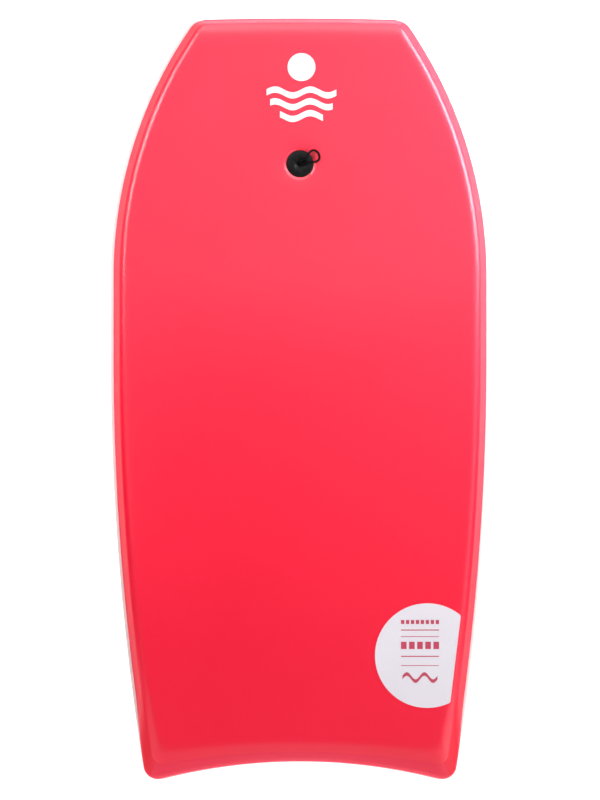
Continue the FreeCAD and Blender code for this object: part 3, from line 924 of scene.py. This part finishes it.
class Nodes:
    """A short way to write a node material: Principled, with links given as sockets."""

    def __init__(self, name):
        self.material = bpy.data.materials.new(name)
        self.material.use_nodes = True
        self.tree = self.material.node_tree
        self.shader = self.tree.nodes["Principled BSDF"]
        self.place = self.tree.nodes.new("ShaderNodeTexCoord").outputs["Object"]

    def link(self, source, target):
        """Joins an output to an input."""
        self.tree.links.new(source, target)

    def set(self, **values):
        """Values that are the same all over, by socket name."""
        for name, value in values.items():
            self.shader.inputs[name.replace("_", " ")].default_value = value

    def noise(self, scale, detail=2.0, rough=0.5, stretch=None):
        node = self.tree.nodes.new("ShaderNodeTexNoise")
        node.inputs["Scale"].default_value = scale
        node.inputs["Detail"].default_value = detail
        node.inputs["Roughness"].default_value = rough
        self.link(self.stretched(stretch), node.inputs["Vector"])
        return node.outputs["Fac"]

    def cells(self, scale, feature="F1"):
        node = self.tree.nodes.new("ShaderNodeTexVoronoi")
        node.feature = feature
        node.inputs["Scale"].default_value = scale
        self.link(self.place, node.inputs["Vector"])
        return node.outputs["Distance"]

    def stretched(self, stretch):
        """The place on the board, scaled along X, Y and Z."""
        if not stretch:
            return self.place
        node = self.tree.nodes.new("ShaderNodeMapping")
        node.inputs["Scale"].default_value = stretch
        self.link(self.place, node.inputs["Vector"])
        return node.outputs["Vector"]

    def ramp(self, source, *stops):
        """Colour or grey by position: (position, value) pairs."""
        node = self.tree.nodes.new("ShaderNodeValToRGB")
        steps = node.color_ramp.elements
        for i, (position, value) in enumerate(stops):
            step = steps[i] if i < 2 else steps.new(position)
            step.position = position
            step.color = (*value, 1) if isinstance(value, tuple) else (value, value, value, 1)
        self.link(source, node.inputs["Fac"])
        return node.outputs["Color"]

    def math(self, operation, a, b):
        """A sum with sockets or numbers."""
        node = self.tree.nodes.new("ShaderNodeMath")
        node.operation = operation
        for socket, value in zip(node.inputs, (a, b)):
            if isinstance(value, bpy.types.NodeSocket):
                self.link(value, socket)
            else:
                socket.default_value = value
        return node.outputs[0]

    def bump(self, *layers):
        """Layers of (height, distance in metres, strength)."""
        normal = None
        for source, distance, strength in layers:
            node = self.tree.nodes.new("ShaderNodeBump")
            node.inputs["Distance"].default_value = distance
            node.inputs["Strength"].default_value = strength
            self.link(source, node.inputs["Height"])
            if normal:
                self.link(normal, node.inputs["Normal"])
            normal = node.outputs["Normal"]
        self.link(normal, self.shader.inputs["Normal"])

    def weigh(self, a, share_a, b, share_b):
        """A weighted sum of two sockets."""
        return self.math("ADD", self.math("MULTIPLY", a, share_a), self.math("MULTIPLY", b, share_b))

    def colour(self, source):
        self.link(source, self.shader.inputs["Base Color"])

    def roughness(self, source):
        self.link(source, self.shader.inputs["Roughness"])


def foam(name, light, deep, grain=1400, roughness=(0.28, 0.34), relief=0.03, gloss=0.5):
    """Closed-cell foam: a fine cell grain, faint clouds in the colour and a soft skin."""
    m = Nodes(name)
    clouds = m.noise(7, 3, 0.55)
    specks = m.noise(520, 3, 0.6)
    grains = m.cells(grain)
    tone = m.ramp(m.weigh(clouds, 0.6, specks, 0.4), (0.32, deep), (0.68, light))
    m.colour(tone)
    m.roughness(m.ramp(specks, (0.3, roughness[0]), (0.7, roughness[1])))
    m.bump(
        (m.noise(60, 2, 0.5), 0.0009, 0.05),
        (grains, 0.00025, relief * 6),
        (specks, 0.0003, relief * 3),
    )
    m.set(IOR=1.5, Specular_IOR_Level=gloss)
    return m.material


def slick_plastic(name):
    """Smooth extruded sheet with a faint orange peel and fine scuffs along the board."""
    m = Nodes(name)
    scuffs = m.noise(240, 4, 0.7, (1.0, 0.035, 1.0))
    peel = m.noise(170, 2, 0.5)
    m.colour(m.ramp(m.noise(5, 3, 0.5), (0.3, (0.74, 0.745, 0.75)), (0.7, (0.80, 0.80, 0.80))))
    m.roughness(m.ramp(scuffs, (0.42, 0.24), (0.72, 0.40)))
    m.bump((peel, 0.0004, 0.18), (scuffs, 0.00012, 0.12))
    m.set(IOR=1.5)
    return m.material


def bead_foam(name):
    """Moulded beads, a few millimetres across."""
    m = Nodes(name)
    beads = m.cells(230, "DISTANCE_TO_EDGE")
    m.colour(m.ramp(beads, (0.0, (0.62, 0.62, 0.61)), (0.12, (0.86, 0.86, 0.85))))
    m.roughness(m.ramp(m.noise(700), (0.3, 0.6), (0.7, 0.8)))
    m.bump((m.ramp(beads, (0.0, 0.0), (0.18, 1.0)), 0.0007, 0.8))
    return m.material


def ink(name, light, deep, roughness=(0.45, 0.6)):
    """Screen-printed ink: an even film with a slight grain from the foam below."""
    m = Nodes(name)
    grain = m.noise(900, 3, 0.6)
    m.colour(m.ramp(m.weigh(grain, 0.5, m.noise(16, 2), 0.5), (0.35, deep), (0.65, light)))
    m.roughness(m.ramp(grain, (0.3, roughness[0]), (0.7, roughness[1])))
    m.bump((grain, 0.00015, 0.25), (m.cells(1400), 0.0002, 0.2))
    return m.material


def moulded_plastic(name):
    """Black moulded plastic with a fine spark-eroded grain, rubbed a little lighter in patches."""
    m = Nodes(name)
    grain = m.noise(2600, 3, 0.6)
    rubbed = m.noise(190, 4, 0.65)
    m.colour(m.ramp(rubbed, (0.35, (0.004, 0.0038, 0.004)), (0.75, (0.009, 0.0085, 0.009))))
    m.roughness(m.ramp(rubbed, (0.3, 0.34), (0.7, 0.5)))
    m.bump((grain, 0.00012, 0.35))
    m.set(Specular_IOR_Level=0.055)
    return m.material


def cord_fibre(name):
    """Black polyester yarn: fine fibres over the strands."""
    m = Nodes(name)
    fibre = m.noise(2600, 4, 0.7, (1.0, 1.0, 0.35))
    m.colour(m.ramp(fibre, (0.3, (0.003, 0.0025, 0.0025)), (0.7, (0.006, 0.005, 0.005))))
    m.roughness(m.ramp(fibre, (0.3, 0.55), (0.7, 0.75)))
    m.bump((fibre, 0.0002, 0.4))
    m.set(Specular_IOR_Level=0.03)
    return m.material


# ---------------------------------------------------------------- stage


# A light is its name, place, aim, size, radiance and, if it has a grid, that grid's half angle in degrees.
# These light the colour only.
COLOUR_LIGHTS = (
    ("right_softbox", (0.95, 0.64, 0.37), (0.25, 0.64, 0.05), (0.8, 0.35), 34),
    ("left_softbox", (-0.95, 0.47, 0.86), (-0.25, 0.47, 0.05), (0.42, 0.26), 38),
)
# These light the colour and the gloss.
PLAIN_LIGHTS = (
    ("nose_softbox", (0.2, 1.35, 0.24), (0.0, 0.5, 0.03), (1.0, 0.36), 6.3),
    ("tail_softbox", (0.0, -1.8, 0.6), (0.0, -0.5, 0.0), (1.6, 0.5), 5.2),
    ("tail_panel", (0.0, -1.5, 1.6), (0.0, -0.45, 0.05), (2.4, 1.25), 0.76),
    ("right_panel", (1.5, -0.5, 1.5), (0.0, -0.35, 0.05), (1.8, 1.2), 1.0),
)
# These light the gloss only: along the deck's rolled edges, at the tail and round the plug's seat.
GLOSS_LIGHTS = (
    ("left_rail_shine", (-0.95, 0.47, 0.86), (-0.35, 0.40, 0.05), (0.42, 0.26), 54, 20),
    ("right_rail_shine", (0.95, 0.64, 0.56), (0.33, 0.48, 0.05), (0.8, 0.3), 68, 22),
    ("tail_left_shine", (-0.75, -1.0, 0.95), (-0.2, -0.5, 0.05), (0.7, 0.6), 3.6),
    ("tail_right_shine", (0.75, -1.0, 0.95), (0.2, -0.5, 0.05), (0.7, 0.6), 5.5),
    ("tail_left_edge_shine", (-0.85, -0.62, 0.15), (-0.23, -0.49, 0.04), (0.3, 0.2), 12, 12),
    ("tail_right_edge_shine", (0.85, -0.62, 0.15), (0.23, -0.49, 0.04), (0.3, 0.2), 20, 12),
    ("nose_left_shine", (-0.74, 0.72, 0.75), (0.0, 0.32, 0.05), (0.3, 0.25), 36, 12),
    ("nose_right_shine", (0.74, 0.72, 0.75), (0.0, 0.32, 0.05), (0.3, 0.25), 42, 12),
)
# Panels over the board, facing down, for the gloss only: name, place in plan, size, radiance.
GLOW_HEIGHT = 0.9
OVERHEAD_GLOWS = (
    ("top_glow", (0.32, 0.52), (1.18, 0.66), 2.65),
    ("middle_glow", (0.32, -0.06), (1.18, 0.5), 0.3),
    ("nose_glow", (0.1, 0.98), (1.2, 0.6), 8.5),
    ("left_glow", (-0.65, 0.3), (0.7, 1.1), 1.8),
    ("side_glow", (0.65, 0.35), (0.7, 1.3), 4.2),
    ("right_glow", (0.95, 0.46), (0.6, 0.9), 2.0),
)
# The bright horizon fades into the dim room between these heights, as sines of the angle above level.
HORIZON = (1, 1, 1, 1)
HORIZON_TOP = 0.06
ROOM = (0.09, 0.09, 0.09, 1)
ROOM_START = 0.2

FLOOR_REACH = 6.0
FLOOR_GAP = 1.5 * MM

CAMERA_SENSOR = 36.0  # mm, like the lens
CAMERA_DISTANCE = 10.0
CAMERA_Y = -0.6 * MM
VIEW_HEIGHT = 1.096  # what the camera takes in at the board's middle height


def softbox(name, place, aim, size, radiance, grid=None):
    """A soft light that the camera doesn't see, as bright as radiance times a white surface.

    A grid in front keeps its light within that many degrees of where it is aimed.
    """
    light = bpy.data.lights.new(name, "AREA")
    light.shape = "RECTANGLE"
    light.size, light.size_y = size
    light.energy = radiance * math.pi * size[0] * size[1]
    if grid:
        half = math.radians(grid)
        light.spread = 2 * half
        light.energy *= 1 - half / math.tan(half)
    lamp = bpy.data.objects.new(name, light)
    bpy.context.scene.collection.objects.link(lamp)
    lamp.location = place
    lamp.rotation_euler = (Vector(aim) - Vector(place)).to_track_quat("-Z", "Y").to_euler()
    lamp.visible_camera = False
    return lamp


def floor():
    """A plain pale floor."""
    mesh = bpy.data.meshes.new("floor")
    corners = [(x * FLOOR_REACH, y * FLOOR_REACH, 0) for x, y in ((-1, -1), (1, -1), (1, 1), (-1, 1))]
    mesh.from_pydata(corners, [], [(0, 1, 2, 3)])
    ground = bpy.data.objects.new("floor", mesh)
    bpy.context.scene.collection.objects.link(ground)
    m = Nodes("floor_pale")
    m.colour(m.ramp(m.noise(3), (0.3, (0.65, 0.65, 0.65)), (0.7, (0.67, 0.67, 0.67))))
    m.set(Roughness=0.9, Emission_Color=(1, 1, 1, 1), Emission_Strength=0.62)
    mesh.materials.append(m.material)
    ground.location.z = -FLOOR_GAP


def room():
    """A dim room over a bright horizon."""
    world = bpy.data.worlds.new("studio")
    bpy.context.scene.world = world
    world.use_nodes = True
    nodes, links = world.node_tree.nodes, world.node_tree.links
    split = nodes.new("ShaderNodeSeparateXYZ")
    ramp = nodes.new("ShaderNodeValToRGB")
    bright, dim = ramp.color_ramp.elements
    bright.position = HORIZON_TOP
    bright.color = HORIZON
    dim.position = ROOM_START
    dim.color = ROOM
    links.new(nodes.new("ShaderNodeTexCoord").outputs["Generated"], split.inputs[0])
    links.new(split.outputs["Z"], ramp.inputs["Fac"])
    links.new(ramp.outputs["Color"], nodes["Background"].inputs["Color"])
    nodes["Background"].inputs["Strength"].default_value = 1.0


def studio():
    """The room, with soft lights round the board and over it."""
    room()
    for light in COLOUR_LIGHTS:
        softbox(*light).visible_glossy = False
    for light in PLAIN_LIGHTS:
        softbox(*light)
    for light in GLOSS_LIGHTS:
        softbox(*light).visible_diffuse = False
    for name, (x, y), size, radiance in OVERHEAD_GLOWS:
        softbox(name, (x, y, GLOW_HEIGHT), (x, y, 0.0), size, radiance).visible_diffuse = False
    bpy.context.scene.view_settings.view_transform = "Standard"


def camera():
    """Straight above the deck, from far off, so that the outline keeps its proportions."""
    lens = bpy.data.cameras.new("camera")
    lens.sensor_width = CAMERA_SENSOR
    lens.lens = lens.sensor_width * (CAMERA_DISTANCE - CENTRE_THICKNESS / 2) / VIEW_HEIGHT
    lens.clip_end = 3 * CAMERA_DISTANCE
    eye = bpy.data.objects.new("camera", lens)
    bpy.context.scene.collection.objects.link(eye)
    eye.location = (0.0, CAMERA_Y, CAMERA_DISTANCE)
    bpy.context.scene.camera = eye


# ---------------------------------------------------------------- build


def dress(node, material):
    """A frame node whose shape is right keeps it and gets the material."""
    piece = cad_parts[node]
    if not piece.material_slots:
        piece.data.materials.append(material)
    for slot in piece.material_slots:
        slot.material = material


def foams():
    """The rails, the strips across the ends and the backing, each in its own foam."""
    red = foam(
        "rail_foam_red",
        (0.88, 0.012, 0.040),
        (0.83, 0.009, 0.032),
        grain=1000,
        roughness=(0.4, 0.48),
        relief=0.04,
        gloss=0.26,
    )
    end_red = foam(
        "end_foam_red",
        (0.88, 0.012, 0.058),
        (0.83, 0.009, 0.048),
        grain=1000,
        roughness=(0.36, 0.42),
        relief=0.04,
        gloss=0.36,
    )
    # The white rail foam is painted pink-grey: painted shade for its down-turned face and painted red light
    # bounced off the red rails, over a white foam.
    white = foam(
        "rail_foam_white",
        (0.86, 0.67, 0.68),
        (0.80, 0.61, 0.62),
        grain=1000,
        roughness=(0.5, 0.62),
        relief=0.06,
        gloss=0.3,
    )
    backing = foam(
        "backing_foam_white",
        (0.88, 0.88, 0.87),
        (0.80, 0.80, 0.79),
        grain=800,
        roughness=(0.55, 0.7),
        relief=0.09,
        gloss=0.3,
    )
    return red, end_red, white, backing


def build():
    """Everything, the camera and the cord first."""
    camera()
    cord = cord_fibre("string_fibre")
    string_loop(cord)
    dress("string_knot", cord)
    deck = foam("deck_foam_red", (0.91, 0.0056, 0.0395), (0.87, 0.0036, 0.033))
    red, end_red, white, backing = foams()
    plastic = moulded_plastic("plug_black")
    slick = slick_plastic("slick_white")
    deck_skin(deck)
    foam_strips(red, end_red, white)
    sheet("slick_foam_soft", backing, BACKING_EDGE, *BACKING_DROPS, "backing_foam", "slick_foam")
    sheet("slick_sheet_smooth", slick, SLICK_EDGE, *SLICK_DROPS, "slick_plastic", "slick_sheet")
    paper = ink("print_white", (0.75, 0.705, 0.77), (0.70, 0.655, 0.715))
    emblem(ink("emblem_white", (0.74, 0.69, 0.71), (0.68, 0.63, 0.65)))
    label(paper, ink("print_dark_pink", (0.50, 0.032, 0.085), (0.42, 0.024, 0.07)))
    dress("core", bead_foam("core_beads"))
    dress("plug_cap", plastic)
    dress("plug_base", plastic)
    floor()
    studio()


build()
